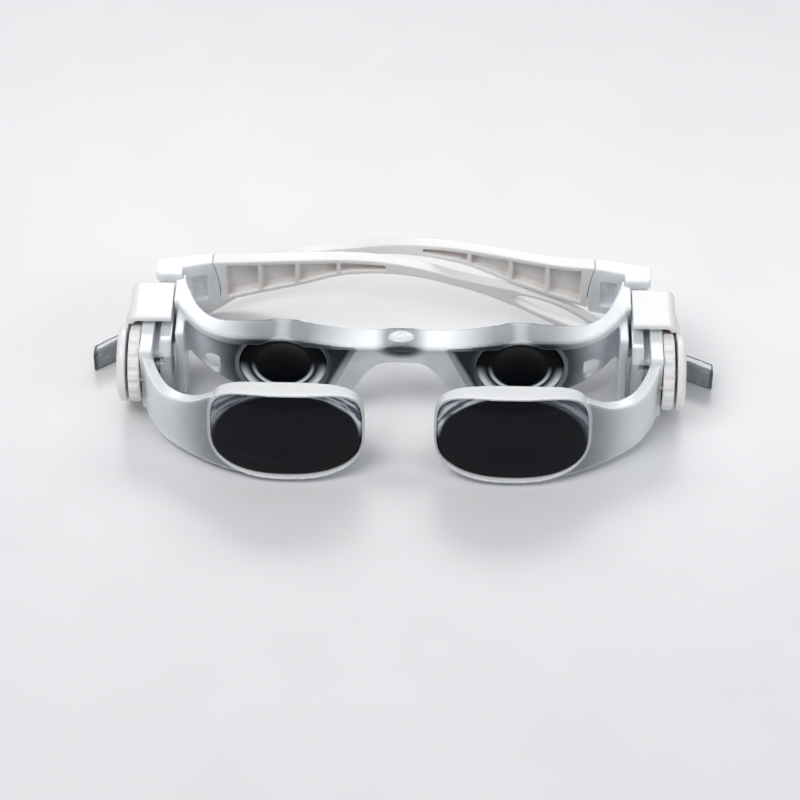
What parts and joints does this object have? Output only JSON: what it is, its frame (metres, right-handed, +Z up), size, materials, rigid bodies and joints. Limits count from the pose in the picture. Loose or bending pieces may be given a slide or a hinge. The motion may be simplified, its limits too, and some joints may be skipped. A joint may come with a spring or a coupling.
{
  "type": "head visor magnifier",
  "caption": "Spectacle-style binocular magnifier with focusing front lens carriers, thumb wheels at the sides and folding temples.",
  "frame": {"origin": "middle of the footprint on the resting surface, below the nose bridge", "axes": "+X to the wearer's left across both eyes, +Y towards the wearer's face, +Z up"},
  "size_m": [0.1726, 0.0768, 0.028],
  "materials": {
    "frosted": "frosted translucent polycarbonate",
    "clear": "clear glossy plastic",
    "lens": "polished clear optical plastic",
    "white": "satin warm white plastic",
    "steel": "satin"
  },
  "bodies": {
    "frame": {"eyepiece_frame": "frosted", "right_eyepiece_lens": "lens", "right_guide_plate": "clear", "right_side_cover": "white", "right_cover_screws": "steel", "right_wheel_axle": "steel", "right_spring_washer": "steel", "right_hinge_pin": "steel", "left_eyepiece_lens": "lens", "left_guide_plate": "clear", "left_side_cover": "white", "left_cover_screws": "steel", "left_wheel_axle": "steel", "left_spring_washer": "steel", "left_hinge_pin": "steel"},
    "right_wheel": {"right_focus_wheel": "white"},
    "right_carrier": {"right_objective_carrier": "frosted", "right_objective_lens": "lens", "right_follower_pin": "steel"},
    "right_temple": {"right_hinge_link": "frosted", "right_temple": "white", "right_temple_tip": "clear"},
    "left_wheel": {"left_focus_wheel": "white"},
    "left_carrier": {"left_objective_carrier": "frosted", "left_objective_lens": "lens", "left_follower_pin": "steel"},
    "left_temple": {"left_hinge_link": "frosted", "left_temple": "white", "left_temple_tip": "clear"}
  },
  "joints": [
    {"name": "right_focus_turn", "type": "hinge", "parent": "frame", "child": "right_wheel", "pos_m": [-0.0727, -0.00621, 0.0135], "axis": [1, 0, 0], "range_deg": [-135, 135]},
    {"name": "right_focus_slide", "type": "slide", "parent": "frame", "child": "right_carrier", "axis": [0, 1, 0], "range_m": [-0.0025, 0.0025]},
    {"name": "right_temple_fold", "type": "hinge", "parent": "frame", "child": "right_temple", "pos_m": [-0.0644, 0.01739, 0.02], "axis": [0, 0, 1], "range_deg": [0, 95]},
    {"name": "left_focus_turn", "type": "hinge", "parent": "frame", "child": "left_wheel", "pos_m": [0.0727, -0.00621, 0.0135], "axis": [1, 0, 0], "range_deg": [-135, 135]},
    {"name": "left_focus_slide", "type": "slide", "parent": "frame", "child": "left_carrier", "axis": [0, 1, 0], "range_m": [-0.0025, 0.0025]},
    {"name": "left_temple_fold", "type": "hinge", "parent": "frame", "child": "left_temple", "pos_m": [0.0644, 0.01739, 0.02], "axis": [0, 0, -1], "range_deg": [0, 95]}
  ],
  "couplings": [
    {"joint": "right_focus_turn", "follows": "right_focus_slide", "rad_per_m": 942.4},
    {"joint": "left_focus_turn", "follows": "left_focus_slide", "rad_per_m": 942.4}
  ]
}
